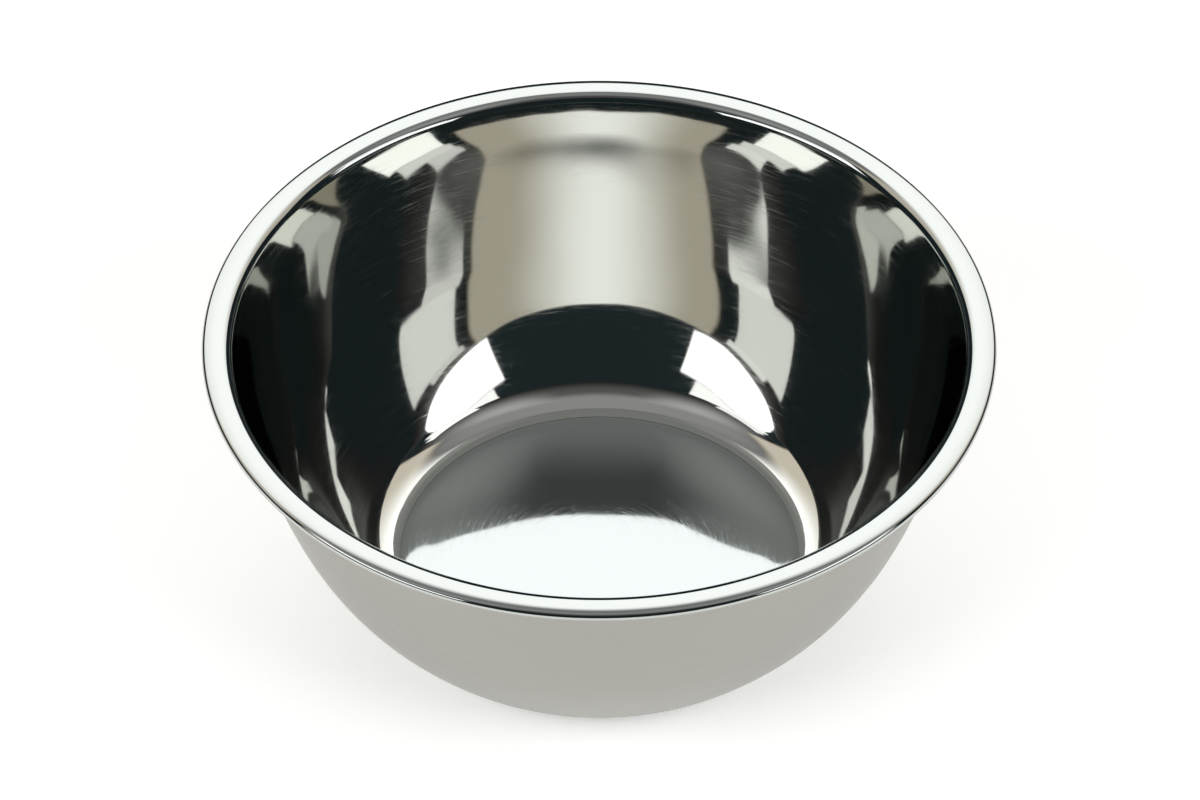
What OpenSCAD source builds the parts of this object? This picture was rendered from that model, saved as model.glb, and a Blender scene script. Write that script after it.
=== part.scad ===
// Deep drawn stainless steel mixing bowl with a flat base, a steep wall and a wide rolled rim.
// The bowl stands on z = 0 with its axis on z. All sizes are in millimetres.

/* [Overall] */
// Diameter over the rolled edge of the rim
overall_d = 300; // [260:5:340]
// Height from the table to the top of the rim
overall_h = 118; // [113:1:140]
// Thickness of the steel sheet
sheet = 0.7; // [0.6:0.05:0.8]

/* [Base] */
// Width of the flat ring that the bowl stands on
foot_ring_w = 1.2; // [1:0.1:3]
// Bend radius of the small step between that ring and the floor disc
step_bend_r = 1; // [0.9:0.1:1.5]
// Slope of the step, which lifts the floor disc off the table, in degrees
step_slope = 32; // [20:1:40]

/* [Wall] */
// Inside radius of the knuckle between the base and the wall
knuckle_r = 18.4; // [14:0.2:24]
// Slope of the wall where the knuckle ends, in degrees
knuckle_slope = 46; // [43:1:50]
// Radius of curvature of the lower wall
lower_wall_r = 133; // [110:1:146]
// Slope of the wall where its lower curve ends, in degrees
lower_wall_slope = 69; // [68:0.5:71]
// Radius of curvature of the upper wall
upper_wall_r = 266; // [200:1:280]
// Slope of the short straight above that, the steepest part of the wall, in degrees
steepest_slope = 79; // [77:0.5:79]
// Radius of the slow outward flare between the straight and the rim
flare_r = 220; // [150:10:280]
// Slope of the wall where the rim bends out of it, in degrees
mouth_slope = 75.5; // [75:0.5:76.5]

/* [Rim] */
// Radial width of the whole rim, from the wall to the outer edge
rim_w = 11.6; // [10:0.1:14]
// Bend radius where the wall turns out into the rim
rim_bend_r = 4.2; // [3:0.1:5]
// Upward slope of the rim just outside that bend, in degrees
rim_inner_slope = 7; // [4:1:10]
// Downward slope of the rim where the outer curl starts, in degrees
rim_outer_slope = 9; // [6:1:12]
// Outer radius of the curl along the edge
curl_r = 1.75; // [1.6:0.05:2]
// How far the edge is curled round, in degrees
curl_sweep = 285; // [240:5:290]
// Clearance between the curl and the wire inside it
wire_gap = 0.03; // [0.02:0.01:0.1]

/* [Hidden] */
$fn = 180;
steel = "silver";
wire_steel = "gray";
chord_error = 0.01;

// The outline follows the sheet's inner face from the axis to the raw edge inside the curl.
// A state on it is [radius, height, heading]. The heading is the slope in degrees, from straight
// outward towards straight up, and the steel lies on its right.
function left_of(heading) = [-sin(heading), cos(heading)];
function place(state) = [state[0], state[1]];
function last(states) = states[len(states) - 1];

// How far an arc between two slopes reaches outward, and how far it rises
function arc_out(arc_r, slope_a, slope_b) = arc_r * abs(sin(slope_b) - sin(slope_a));
function arc_up(arc_r, slope_a, slope_b) = arc_r * abs(cos(slope_b) - cos(slope_a));

// The number of chords that keep an arc of a given radius and sweep within chord_error
function chords(arc_r, sweep) = max(2, ceil(sweep / (2 * acos(1 - chord_error / arc_r))));

// The states along an arc from a state to a new heading. A positive turn_r bends to the left.
function bend(from, turn_r, heading) =
    let (steps = chords(abs(turn_r), abs(heading - from[2])),
         centre = place(from) + turn_r * left_of(from[2]))
    [for (i = [1:steps])
        let (h = from[2] + (heading - from[2]) * i / steps,
             p = centre - turn_r * left_of(h))
        [p[0], p[1], h]];

// The state at the end of a straight
function run(from, length) =
    [from[0] + length * cos(from[2]), from[1] + length * sin(from[2]), from[2]];

// Rim: a bend out of the wall, a gently crowned band and a tight curl
band_w = rim_w - arc_out(rim_bend_r, rim_inner_slope, mouth_slope)
       - curl_r * (1 - sin(rim_outer_slope));
crown_r = band_w / (sin(rim_inner_slope) + sin(rim_outer_slope));
rim_up = arc_up(rim_bend_r, rim_inner_slope, mouth_slope) + arc_up(crown_r, 0, rim_inner_slope);
mouth_r = overall_d / 2 - rim_w;

// Wall: the straight takes up what height the knuckle, the two curves and the flare leave
curves_up = arc_up(knuckle_r, 0, knuckle_slope)
          + arc_up(lower_wall_r, knuckle_slope, lower_wall_slope)
          + arc_up(upper_wall_r, lower_wall_slope, steepest_slope)
          + arc_up(flare_r, steepest_slope, mouth_slope);
curves_out = arc_out(knuckle_r, 0, knuckle_slope)
           + arc_out(lower_wall_r, knuckle_slope, lower_wall_slope)
           + arc_out(upper_wall_r, lower_wall_slope, steepest_slope)
           + arc_out(flare_r, steepest_slope, mouth_slope);
straight_up = overall_h - sheet - curves_up - rim_up;
straight_l = straight_up / sin(steepest_slope);

// Base: the floor disc takes up what radius the wall, the ring and the step leave
step_w = 2 * arc_out(step_bend_r, 0, step_slope);
step_rise = 2 * arc_up(step_bend_r, 0, step_slope);
floor_r = mouth_r - straight_l * cos(steepest_slope) - curves_out - foot_ring_w - step_w;

// The outline's stretches, in order from the axis
floor_centre = [0, sheet + step_rise, 0];
floor_edge = run(floor_centre, floor_r);
step_top = bend(floor_edge, -step_bend_r, -step_slope);
step_foot = bend(last(step_top), step_bend_r, 0);
ring_edge = run(last(step_foot), foot_ring_w);
knuckle = bend(ring_edge, knuckle_r, knuckle_slope);
lower_wall = bend(last(knuckle), lower_wall_r, lower_wall_slope);
upper_wall = bend(last(lower_wall), upper_wall_r, steepest_slope);
flare_start = run(last(upper_wall), straight_l);
flare = bend(flare_start, -flare_r, mouth_slope);
rim_bend = bend(last(flare), -rim_bend_r, rim_inner_slope);
crown = bend(last(rim_bend), -crown_r, -rim_outer_slope);
curl = bend(last(crown), -curl_r, -rim_outer_slope - curl_sweep);

curl_centre = place(last(crown)) - curl_r * left_of(-rim_outer_slope);
wire_r = curl_r - sheet - wire_gap;

inner_face = concat([floor_centre, floor_edge], step_top, step_foot, [ring_edge], knuckle,
                    lower_wall, upper_wall, [flare_start], flare, rim_bend, crown, curl);
outer_face = [for (state = inner_face) place(state) - sheet * left_of(state[2])];

// The bowl itself: one sheet, equally thick from the floor disc to the curled edge
module bowl_shell() {
    color(steel)
    rotate_extrude()
    polygon(concat([for (state = inner_face) place(state)],
                   [for (i = [len(outer_face) - 1:-1:0]) outer_face[i]]));
}

// The stiffening wire that the edge is curled round
module rim_wire() {
    color(wire_steel)
    rotate_extrude()
    translate(curl_centre)
    circle(r = wire_r, $fn = 48);
}

bowl_shell();
rim_wire();
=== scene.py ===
"""The looks of the mixing bowl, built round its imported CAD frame. Everything is in metres."""

import math

import bpy
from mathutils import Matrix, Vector, noise


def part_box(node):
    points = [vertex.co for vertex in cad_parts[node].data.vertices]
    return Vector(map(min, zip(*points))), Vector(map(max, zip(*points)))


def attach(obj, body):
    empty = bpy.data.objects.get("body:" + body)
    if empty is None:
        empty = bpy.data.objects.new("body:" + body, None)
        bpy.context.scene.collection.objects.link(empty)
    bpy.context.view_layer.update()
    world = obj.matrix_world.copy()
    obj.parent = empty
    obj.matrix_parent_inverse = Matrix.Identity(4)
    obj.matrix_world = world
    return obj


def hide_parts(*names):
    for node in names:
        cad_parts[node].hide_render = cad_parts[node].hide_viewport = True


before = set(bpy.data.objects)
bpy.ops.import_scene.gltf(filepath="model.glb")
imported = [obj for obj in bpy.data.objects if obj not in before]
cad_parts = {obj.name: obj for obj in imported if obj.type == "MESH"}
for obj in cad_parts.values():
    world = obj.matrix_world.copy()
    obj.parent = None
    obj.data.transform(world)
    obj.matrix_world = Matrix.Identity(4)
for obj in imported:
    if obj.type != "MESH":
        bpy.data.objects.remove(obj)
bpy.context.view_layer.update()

# ---------------------------------------------------------------- sizes of the sheet
SHELL_LOW, SHELL_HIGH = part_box("bowl_shell")
OVERALL_R = (SHELL_HIGH.x - SHELL_LOW.x) / 2
OVERALL_H = SHELL_HIGH.z - SHELL_LOW.z

# The CAD sheet's thickness, radii and slopes, from the foot to the curl. Slopes are in degrees.
SHEET = 0.0007
FOOT_RING_W = 0.0012
STEP_BEND_R = 0.001
STEP_SLOPE = 32
KNUCKLE_R = 0.0184
KNUCKLE_SLOPE = 46
LOWER_WALL_R = 0.133
LOWER_WALL_SLOPE = 69
UPPER_WALL_R = 0.266
STEEPEST_SLOPE = 79
FLARE_R = 0.22
MOUTH_SLOPE = 75.5
RIM_W = 0.0116
RIM_BEND_R = 0.0042
RIM_INNER_SLOPE = 7
RIM_OUTER_SLOPE = 9
CURL_R = 0.00175
CURL_SWEEP = 285

# Fineness of the mesh: how far a chord may leave its arc, the longest chord, and how many
# facets go round the axis
CHORD_ERROR = 0.000002
LONGEST_CHORD = 0.003
FACETS = 320


# ---------------------------------------------------------------- the outline of the sheet
def sin_d(degrees):
    return math.sin(math.radians(degrees))


def cos_d(degrees):
    return math.cos(math.radians(degrees))


def arc_out(radius, slope_a, slope_b):
    """How far an arc between two slopes reaches outward."""
    return radius * abs(sin_d(slope_b) - sin_d(slope_a))


def arc_up(radius, slope_a, slope_b):
    """How far an arc between two slopes rises."""
    return radius * abs(cos_d(slope_b) - cos_d(slope_a))


def bend(states, turn_r, heading):
    """Extends the outline by an arc to a new heading. A positive turn_r bends to the left."""
    r0, z0, h0 = states[-1]
    step = 2 * math.degrees(math.acos(1 - CHORD_ERROR / abs(turn_r)))
    step = min(step, math.degrees(LONGEST_CHORD / abs(turn_r)))
    steps = max(2, math.ceil(abs(heading - h0) / step))
    centre_r = r0 - turn_r * sin_d(h0)
    centre_z = z0 + turn_r * cos_d(h0)
    for i in range(1, steps + 1):
        h = h0 + (heading - h0) * i / steps
        states.append((centre_r + turn_r * sin_d(h), centre_z - turn_r * cos_d(h), h))


def run(states, length):
    """Extends the outline by a straight in the present heading."""
    r0, z0, h = states[-1]
    steps = max(1, math.ceil(length / LONGEST_CHORD))
    for i in range(1, steps + 1):
        reach = length * i / steps
        states.append((r0 + reach * cos_d(h), z0 + reach * sin_d(h), h))


def sheet_outline():
    """The sheet's inner face from the axis to the raw edge in the curl, as (radius, height, slope),
    and the index at which the step, the wall and the rim start."""
    band_w = RIM_W - arc_out(RIM_BEND_R, RIM_INNER_SLOPE, MOUTH_SLOPE)
    band_w -= CURL_R * (1 - sin_d(RIM_OUTER_SLOPE))
    crown_r = band_w / (sin_d(RIM_INNER_SLOPE) + sin_d(RIM_OUTER_SLOPE))
    rim_up = arc_up(RIM_BEND_R, RIM_INNER_SLOPE, MOUTH_SLOPE) + arc_up(crown_r, 0, RIM_INNER_SLOPE)
    curves = (
        (KNUCKLE_R, 0, KNUCKLE_SLOPE),
        (LOWER_WALL_R, KNUCKLE_SLOPE, LOWER_WALL_SLOPE),
        (UPPER_WALL_R, LOWER_WALL_SLOPE, STEEPEST_SLOPE),
    )
    flare = (FLARE_R, STEEPEST_SLOPE, MOUTH_SLOPE)
    up = sum(arc_up(*curve) for curve in curves) + arc_up(*flare)
    out = sum(arc_out(*curve) for curve in curves) + arc_out(*flare)
    straight = (OVERALL_H - SHEET - rim_up - up) / sin_d(STEEPEST_SLOPE)
    step_w = 2 * arc_out(STEP_BEND_R, 0, STEP_SLOPE)
    step_rise = 2 * arc_up(STEP_BEND_R, 0, STEP_SLOPE)
    floor_r = OVERALL_R - RIM_W - straight * cos_d(STEEPEST_SLOPE) - out - FOOT_RING_W - step_w

    states = [(0.0, SHEET + step_rise, 0.0)]
    starts = {}
    run(states, floor_r)
    starts["step"] = len(states) - 1
    bend(states, -STEP_BEND_R, -STEP_SLOPE)
    bend(states, STEP_BEND_R, 0)
    run(states, FOOT_RING_W)
    starts["wall"] = len(states) - 1
    for radius, _, slope in curves:
        bend(states, radius, slope)
    run(states, straight)
    bend(states, -FLARE_R, MOUTH_SLOPE)
    starts["rim"] = len(states) - 1
    bend(states, -RIM_BEND_R, RIM_INNER_SLOPE)
    bend(states, -crown_r, -RIM_OUTER_SLOPE)
    bend(states, -CURL_R, -RIM_OUTER_SLOPE - CURL_SWEEP)
    return states, starts


# ---------------------------------------------------------------- unevenness of the sheet
# Height of the waves and how far apart they are, in the wall and in the floor
WALL_WAVE = 0.00006
WALL_WAVE_SIZE = 0.023
FLOOR_WAVE = 0.00026
FLOOR_WAVE_SIZE = 0.045
WAVE_SEED = Vector((4.1, 9.7, 2.3))
# The waves fade out over this distance from the foot ring and from just below the rim
WAVE_FADE = 0.012
FLAT_BELOW_RIM = 0.004
# One shallow swell in the floor
SWELL_HEIGHT = 0.0006
SWELL_SIZE = 0.016
SWELL_AT = Vector((0.050, -0.010, 0))


def waviness(point, radius, ring_r):
    """How far the drawn and polished sheet stands off its true outline, along its normal. It keeps
    to the outline at the foot ring that the bowl stands on and at the rim."""
    from_ring = min(1.0, abs(radius - ring_r) / WAVE_FADE)
    from_rim = min(1.0, max(0.0, (OVERALL_H - FLAT_BELOW_RIM - point.z) / WAVE_FADE))
    inside = radius < ring_r
    height, size = (FLOOR_WAVE, FLOOR_WAVE_SIZE) if inside else (WALL_WAVE, WALL_WAVE_SIZE)
    wave = height * noise.noise(point / size + WAVE_SEED)
    if inside:
        apart = Vector((point.x, point.y, 0)) - SWELL_AT
        wave += SWELL_HEIGHT * math.exp(-apart.length_squared / (2 * SWELL_SIZE * SWELL_SIZE))
    return from_ring * from_ring * from_rim * wave


# ---------------------------------------------------------------- the spun sheet
# The sheet's two faces, and the offset of each from the outline
INSIDE, OUTSIDE = range(2)
OFFSETS = (0.0, -SHEET)
# The steels on it, in the order of the piece's material slots
MIRROR, FLOOR, RIM, EXTERIOR = range(4)
# The rim's polish ends where the curl has turned past this slope
POLISH_END_SLOPE = -100


def steel_of(side, index, states, starts):
    """Which steel a stretch of the sheet has, on one of its faces."""
    on_rim = index >= starts["rim"]
    if side == INSIDE and on_rim and states[index][2] > POLISH_END_SLOPE:
        return RIM
    if side == OUTSIDE or on_rim:
        return EXTERIOR
    return FLOOR if index < starts["step"] else MIRROR


def ring_points(state, offset, ring_r):
    """The vertices at one state of the outline: a ring round the axis, or one point on it."""
    r, z, h = state
    side_r = r - offset * sin_d(h)
    side_z = z + offset * cos_d(h)
    if r == 0:
        return [Vector((0, 0, side_z + waviness(Vector((0, 0, z)), 0, ring_r)))]
    points = []
    for k in range(FACETS):
        turn = 2 * math.pi * k / FACETS
        out = Vector((math.cos(turn), math.sin(turn), 0))
        true = out * r + Vector((0, 0, z))
        normal = out * -sin_d(h) + Vector((0, 0, cos_d(h)))
        at = out * side_r + Vector((0, 0, side_z))
        points.append(at + normal * waviness(true, r, ring_r))
    return points


def band_faces(inner, outer):
    """The faces between two rings of vertices, or round one point at the axis."""
    faces = []
    for k in range(FACETS):
        n = (k + 1) % FACETS
        if len(inner) == 1:
            faces.append((inner[0], outer[k], outer[n]))
        else:
            faces.append((inner[k], outer[k], outer[n], inner[n]))
    return faces


def spun_sheet():
    """The whole bowl as one closed sheet of revolution."""
    states, starts = sheet_outline()
    ring_r = states[starts["wall"]][0]
    verts, faces, slots = [], [], []
    rings = {}
    for side in (INSIDE, OUTSIDE):
        for i, state in enumerate(states):
            points = ring_points(state, OFFSETS[side], ring_r)
            rings[side, i] = range(len(verts), len(verts) + len(points))
            verts += points
    for side in (INSIDE, OUTSIDE):
        for i in range(len(states) - 1):
            band = band_faces(rings[side, i], rings[side, i + 1])
            faces += band if side == INSIDE else [face[::-1] for face in band]
            slots += [steel_of(side, i, states, starts)] * FACETS
    last = len(states) - 1
    faces += band_faces(rings[INSIDE, last], rings[OUTSIDE, last])
    slots += [EXTERIOR] * FACETS
    return verts, faces, slots


def make_bowl():
    """The sheet as one smooth piece, with its four steels."""
    verts, faces, slots = spun_sheet()
    mesh = bpy.data.meshes.new("drawn_sheet")
    mesh.from_pydata(verts, [], faces)
    for face, slot in zip(mesh.polygons, slots):
        face.use_smooth = True
        face.material_index = slot
    piece = bpy.data.objects.new("drawn_sheet", mesh)
    bpy.context.collection.objects.link(piece)
    for material in bowl_steels():
        mesh.materials.append(material)
    return piece


# ---------------------------------------------------------------- node helpers
def feed(tree, socket, value):
    """Links an output to a socket, or sets the socket to a plain value."""
    if isinstance(value, bpy.types.NodeSocket):
        tree.links.new(value, socket)
    else:
        socket.default_value = value


def maths(tree, operation, a, b=None):
    """The result of a Math node on one or two values."""
    node = tree.nodes.new("ShaderNodeMath")
    node.operation = operation
    feed(tree, node.inputs[0], a)
    if b is not None:
        feed(tree, node.inputs[1], b)
    return node.outputs[0]


def vector_maths(tree, operation, a, output=0):
    node = tree.nodes.new("ShaderNodeVectorMath")
    node.operation = operation
    feed(tree, node.inputs[0], a)
    return node.outputs[output]


def combine(tree, x, y, z):
    node = tree.nodes.new("ShaderNodeCombineXYZ")
    for socket, value in zip(node.inputs, (x, y, z)):
        feed(tree, socket, value)
    return node.outputs[0]


def separate(tree, vector):
    node = tree.nodes.new("ShaderNodeSeparateXYZ")
    feed(tree, node.inputs[0], vector)
    return node.outputs


def remap(tree, value, low, high, to_low=0, to_high=1, smooth=True):
    """The value carried over from one range to another, and held at its ends."""
    node = tree.nodes.new("ShaderNodeMapRange")
    node.interpolation_type = "SMOOTHSTEP" if smooth else "LINEAR"
    for name, number in (("From Min", low), ("From Max", high), ("To Min", to_low), ("To Max", to_high)):
        node.inputs[name].default_value = number
    feed(tree, node.inputs["Value"], value)
    return node.outputs[0]


def between(tree, value, low, high, edge):
    """1 between two limits and 0 outside them, with soft edges."""
    rise = remap(tree, value, low - edge / 2, low + edge / 2)
    fall = remap(tree, value, high - edge / 2, high + edge / 2)
    return maths(tree, "SUBTRACT", rise, fall)


# ---------------------------------------------------------------- materials
# Rings and scratches are counted per metre along the sheet
SCRATCHES = 3600
# The higher this is, the shorter is the arc of each scratch
SCRATCH_ARCS = 9
# Fineness of the two noises, and the share of each that shows
RING_DETAIL = 3
RING_SPAN = (0.3, 0.7)
SCRATCH_DETAIL = 4
SCRATCH_SPAN = (0.58, 0.68)


def new_material(name):
    material = bpy.data.materials.new(name)
    material.use_nodes = True
    return material, material.node_tree, material.node_tree.nodes["Principled BSDF"]


def lathe_lines(tree, per_metre, detail, around=1.0):
    """Noise drawn out into rings about the bowl's axis, or into arcs where around is more than 1."""
    place = tree.nodes.new("ShaderNodeTexCoord")
    x, y, z = separate(tree, place.outputs["Object"])
    flat = combine(tree, x, y, 0.0)
    radius = vector_maths(tree, "LENGTH", flat, "Value")
    way_x, way_y, _ = separate(tree, vector_maths(tree, "NORMALIZE", flat))
    ring = maths(tree, "MULTIPLY", maths(tree, "ADD", radius, z), per_metre)
    way_x = maths(tree, "MULTIPLY", way_x, around)
    way_y = maths(tree, "MULTIPLY", way_y, around)
    lines = tree.nodes.new("ShaderNodeTexNoise")
    lines.inputs["Scale"].default_value = 1
    lines.inputs["Detail"].default_value = detail
    feed(tree, lines.inputs["Vector"], combine(tree, ring, way_x, way_y))
    return lines.outputs["Fac"]


def steel(name, color, rough, rough_spread, rings, relief_height, scratch_rough=0.0):
    """Stainless steel worked on a lathe: rings in its roughness and relief, and finer scratches."""
    material, tree, shader = new_material(name)
    shader.inputs["Metallic"].default_value = 1
    shader.inputs["Base Color"].default_value = (*color, 1)
    lines = lathe_lines(tree, rings, RING_DETAIL)
    smoothest = rough - rough_spread
    roughest = rough + rough_spread
    roughness = remap(tree, lines, *RING_SPAN, smoothest, roughest, smooth=False)
    if scratch_rough:
        scratches = lathe_lines(tree, SCRATCHES, SCRATCH_DETAIL, SCRATCH_ARCS)
        scratches = remap(tree, scratches, *SCRATCH_SPAN, 0, scratch_rough)
        roughness = maths(tree, "ADD", roughness, scratches)
    feed(tree, shader.inputs["Roughness"], roughness)
    relief = tree.nodes.new("ShaderNodeBump")
    relief.inputs["Strength"].default_value = 1
    relief.inputs["Distance"].default_value = relief_height
    feed(tree, relief.inputs["Height"], lines)
    feed(tree, shader.inputs["Normal"], relief.outputs[0])
    return material


def mirror_steel():
    """The polished wall inside."""
    return steel("mirror_steel", (0.62, 0.63, 0.60), 0.035, 0.012, 900, 0.0000003, 0.10)


def spun_floor_steel():
    """The floor, duller than the wall."""
    return steel("spun_floor_steel", (0.47, 0.50, 0.495), 0.045, 0.02, 1200, 0.0000004, 0.07)


def rim_steel():
    return steel("rim_steel", (0.47, 0.49, 0.475), 0.06, 0.02, 900, 0.0000004)


def satin_steel():
    """The brushed outside."""
    return steel("satin_steel", (0.36, 0.355, 0.327), 0.36, 0.05, 1500, 0.000003)


def wire_steel():
    return steel("wire_steel", (0.5, 0.5, 0.49), 0.3, 0.05, 1500, 0.000002)


def bowl_steels():
    """The sheet's steels, in the order MIRROR, FLOOR, RIM, EXTERIOR."""
    return mirror_steel(), spun_floor_steel(), rim_steel(), satin_steel()


# ---------------------------------------------------------------- the two pieces
bowl = make_bowl()
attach(bowl, "root")
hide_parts("bowl_shell")

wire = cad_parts["rim_wire"]
wire.data.materials.clear()
wire.data.materials.append(wire_steel())

# ---------------------------------------------------------------- table
TABLE_SIZE = 8
TABLE_COLOR = (0.93, 0.93, 0.92)
TABLE_ROUGHNESS = 0.6
# A faint even glow keeps the table pale out to the horizon, as a lit studio sweep is
TABLE_GLOW = 0.3


def pale_table():
    material, _, shader = new_material("pale_table")
    shader.inputs["Base Color"].default_value = (*TABLE_COLOR, 1)
    shader.inputs["Roughness"].default_value = TABLE_ROUGHNESS
    shader.inputs["Emission Color"].default_value = (1, 1, 1, 1)
    shader.inputs["Emission Strength"].default_value = TABLE_GLOW
    return material


def make_table():
    bpy.ops.mesh.primitive_plane_add(size=TABLE_SIZE)
    plane = bpy.context.object
    plane.name = "table"
    plane.data.materials.append(pale_table())
    return plane


table = make_table()


# ---------------------------------------------------------------- camera
# The camera stands far off, in front of the bowl, and looks at a point on its axis
CAMERA_ELEVATION = 43.13
CAMERA_DISTANCE = 14.0 * OVERALL_R
CAMERA_LENS = 165
SENSOR_WIDTH = 36
NEAR_CLIP = 0.05
AIM = Vector((0.0003, 0, 0.706 * OVERALL_H))


def make_camera():
    data = bpy.data.cameras.new("camera")
    data.lens = CAMERA_LENS
    data.sensor_width = SENSOR_WIDTH
    data.clip_start = NEAR_CLIP
    camera = bpy.data.objects.new("camera", data)
    bpy.context.collection.objects.link(camera)
    back = Vector((0, -cos_d(CAMERA_ELEVATION), sin_d(CAMERA_ELEVATION)))
    camera.location = AIM + back * CAMERA_DISTANCE
    camera.rotation_euler = (math.radians(90 - CAMERA_ELEVATION), 0, 0)
    bpy.context.scene.camera = camera


make_camera()


# ---------------------------------------------------------------- lamps
def direction(azimuth, elevation):
    """A unit vector. Azimuth 0 is straight behind the bowl and 90 is to the right."""
    level = cos_d(elevation)
    return Vector((sin_d(azimuth) * level, cos_d(azimuth) * level, sin_d(elevation)))


# The softboxes light the table. The steel doesn't mirror them: it mirrors the room's panels.
SOFTBOX_DISTANCE = 1.3
SOFTBOX_SIZE = (0.9, 0.6)
SOFTBOX_POWER = 8


def softbox(name, azimuth, elevation):
    """A rectangular lamp that faces the bowl, and that neither the camera nor the steel sees."""
    data = bpy.data.lights.new(name, "AREA")
    data.shape = "RECTANGLE"
    data.size, data.size_y = SOFTBOX_SIZE
    data.energy = SOFTBOX_POWER
    lamp = bpy.data.objects.new(name, data)
    bpy.context.collection.objects.link(lamp)
    lamp.location = direction(azimuth, elevation) * SOFTBOX_DISTANCE
    lamp.rotation_mode = "QUATERNION"
    lamp.rotation_quaternion = (lamp.location - AIM).to_track_quat("Z", "Y")
    lamp.visible_camera = False
    lamp.visible_glossy = False


softbox("softbox_left", -120, 35)
softbox("softbox_right", 117, 35)


# ---------------------------------------------------------------- the mirrored room
# All directions here are azimuths and elevations in degrees, as in direction()
# Panels: azimuth from and to, elevation from and to, and brightness
PANELS = (
    (-144, -97, 21, 36, 2.4),
    (97, 137, 21, 36, 2.4),
    (-136, -94, 36, 41.5, 1.55),
    (90, 131, 36, 41.5, 1.55),
    (-119, -92, 41, 46.3, 1.35),
    (86, 117, 41, 46.3, 1.7),
)
PANEL_EDGE = 1.2
# The backdrop behind the bowl: azimuth from and to, its soft edges, and the elevations over which
# it comes in and fades out
BACKDROP = (-85, 75)
BACKDROP_EDGE = 4
BACKDROP_FOOT = (28, 29)
BACKDROP_TOP_FADE = (51, 61)
# Its colour at both ends and in the middle, and how far from the middle the change goes
BACKDROP_END_COLOR = (0.85, 0.77, 0.66)
BACKDROP_MIDDLE_COLOR = (1.95, 1.95, 1.95)
BACKDROP_MIDDLE_FADE = (2, 62)
# The ceiling: its brightness, the elevations over which it comes in, and those right overhead
CEILING_GLOW = 0.37
CEILING_FADE = (38, 68)
OVERHEAD = (68, 86)
# It dims to this share towards the camera's side, and gains this share over the flanks
CEILING_DIMMEST = 0.35
CAMERA_SIDE = (100, 158)
FLANK_GAIN = 0.5
FLANKS = (80, 138)
FLANK_EDGE = 30
# Everything else
DARK_SIDE_COLOR = (0.018, 0.027, 0.030)


def panels(tree, azimuth, elevation):
    """How bright the panels are in a direction."""
    glow = 0.0
    for left, right, low, high, brightness in PANELS:
        panel = maths(tree, "MULTIPLY", between(tree, azimuth, left, right, PANEL_EDGE), brightness)
        panel = maths(tree, "MULTIPLY", panel, between(tree, elevation, low, high, PANEL_EDGE))
        glow = maths(tree, "MAXIMUM", glow, panel)
    return glow


def ceiling(tree, turned, elevation):
    """How bright the ceiling is in a direction: palest over the flanks, dimmer towards the camera."""
    overhead = remap(tree, elevation, *OVERHEAD)
    away = maths(tree, "MAXIMUM", remap(tree, turned, *CAMERA_SIDE, 1, 0), overhead)
    away = maths(tree, "ADD", maths(tree, "MULTIPLY", away, 1 - CEILING_DIMMEST), CEILING_DIMMEST)
    flank = between(tree, turned, *FLANKS, FLANK_EDGE)
    flank = maths(tree, "MULTIPLY", flank, maths(tree, "SUBTRACT", 1.0, overhead))
    flank = maths(tree, "ADD", maths(tree, "MULTIPLY", flank, FLANK_GAIN), 1.0)
    glow = remap(tree, elevation, *CEILING_FADE, 0, CEILING_GLOW)
    return maths(tree, "MULTIPLY", maths(tree, "MULTIPLY", glow, away), flank)


def backdrop_share(tree, azimuth, elevation):
    """How much of the backdrop shows in a direction, from 0 to 1."""
    across = between(tree, azimuth, *BACKDROP, BACKDROP_EDGE)
    above_foot = maths(tree, "MULTIPLY", across, remap(tree, elevation, *BACKDROP_FOOT))
    return maths(tree, "MULTIPLY", above_foot, remap(tree, elevation, *BACKDROP_TOP_FADE, 1, 0))


def room_color(tree):
    """The room's colour in each direction: pale behind and overhead, dark on the camera's side."""
    place = tree.nodes.new("ShaderNodeTexCoord")
    x, y, z = separate(tree, place.outputs["Generated"])
    to_degrees = math.degrees(1)
    azimuth = maths(tree, "MULTIPLY", maths(tree, "ARCTAN2", x, y), to_degrees)
    elevation = maths(tree, "MULTIPLY", maths(tree, "ARCSINE", z), to_degrees)
    turned = maths(tree, "ABSOLUTE", azimuth)

    backdrop = backdrop_share(tree, azimuth, elevation)
    middle = remap(tree, turned, *BACKDROP_MIDDLE_FADE, 1, 0)
    neutral = maths(tree, "MAXIMUM", panels(tree, azimuth, elevation), ceiling(tree, turned, elevation))
    channels = []
    for end, mid, dark in zip(BACKDROP_END_COLOR, BACKDROP_MIDDLE_COLOR, DARK_SIDE_COLOR):
        channel = maths(tree, "ADD", maths(tree, "MULTIPLY", middle, mid - end), end)
        channel = maths(tree, "MAXIMUM", maths(tree, "MULTIPLY", channel, backdrop), neutral)
        channels.append(maths(tree, "MAXIMUM", channel, dark))
    return combine(tree, *channels)


def make_room():
    """The world: plain white to the camera, and the room to everything else."""
    world = bpy.data.worlds.new("room")
    bpy.context.scene.world = world
    world.use_nodes = True
    tree = world.node_tree
    tree.nodes.clear()
    mirrored = tree.nodes.new("ShaderNodeBackground")
    feed(tree, mirrored.inputs["Color"], room_color(tree))
    pale = tree.nodes.new("ShaderNodeBackground")
    pale.inputs["Color"].default_value = (1, 1, 1, 1)
    path = tree.nodes.new("ShaderNodeLightPath")
    mix = tree.nodes.new("ShaderNodeMixShader")
    feed(tree, mix.inputs[0], path.outputs["Is Camera Ray"])
    feed(tree, mix.inputs[1], mirrored.outputs[0])
    feed(tree, mix.inputs[2], pale.outputs[0])
    out = tree.nodes.new("ShaderNodeOutputWorld")
    feed(tree, out.inputs["Surface"], mix.outputs[0])


make_room()
bpy.context.scene.view_settings.view_transform = "Standard"
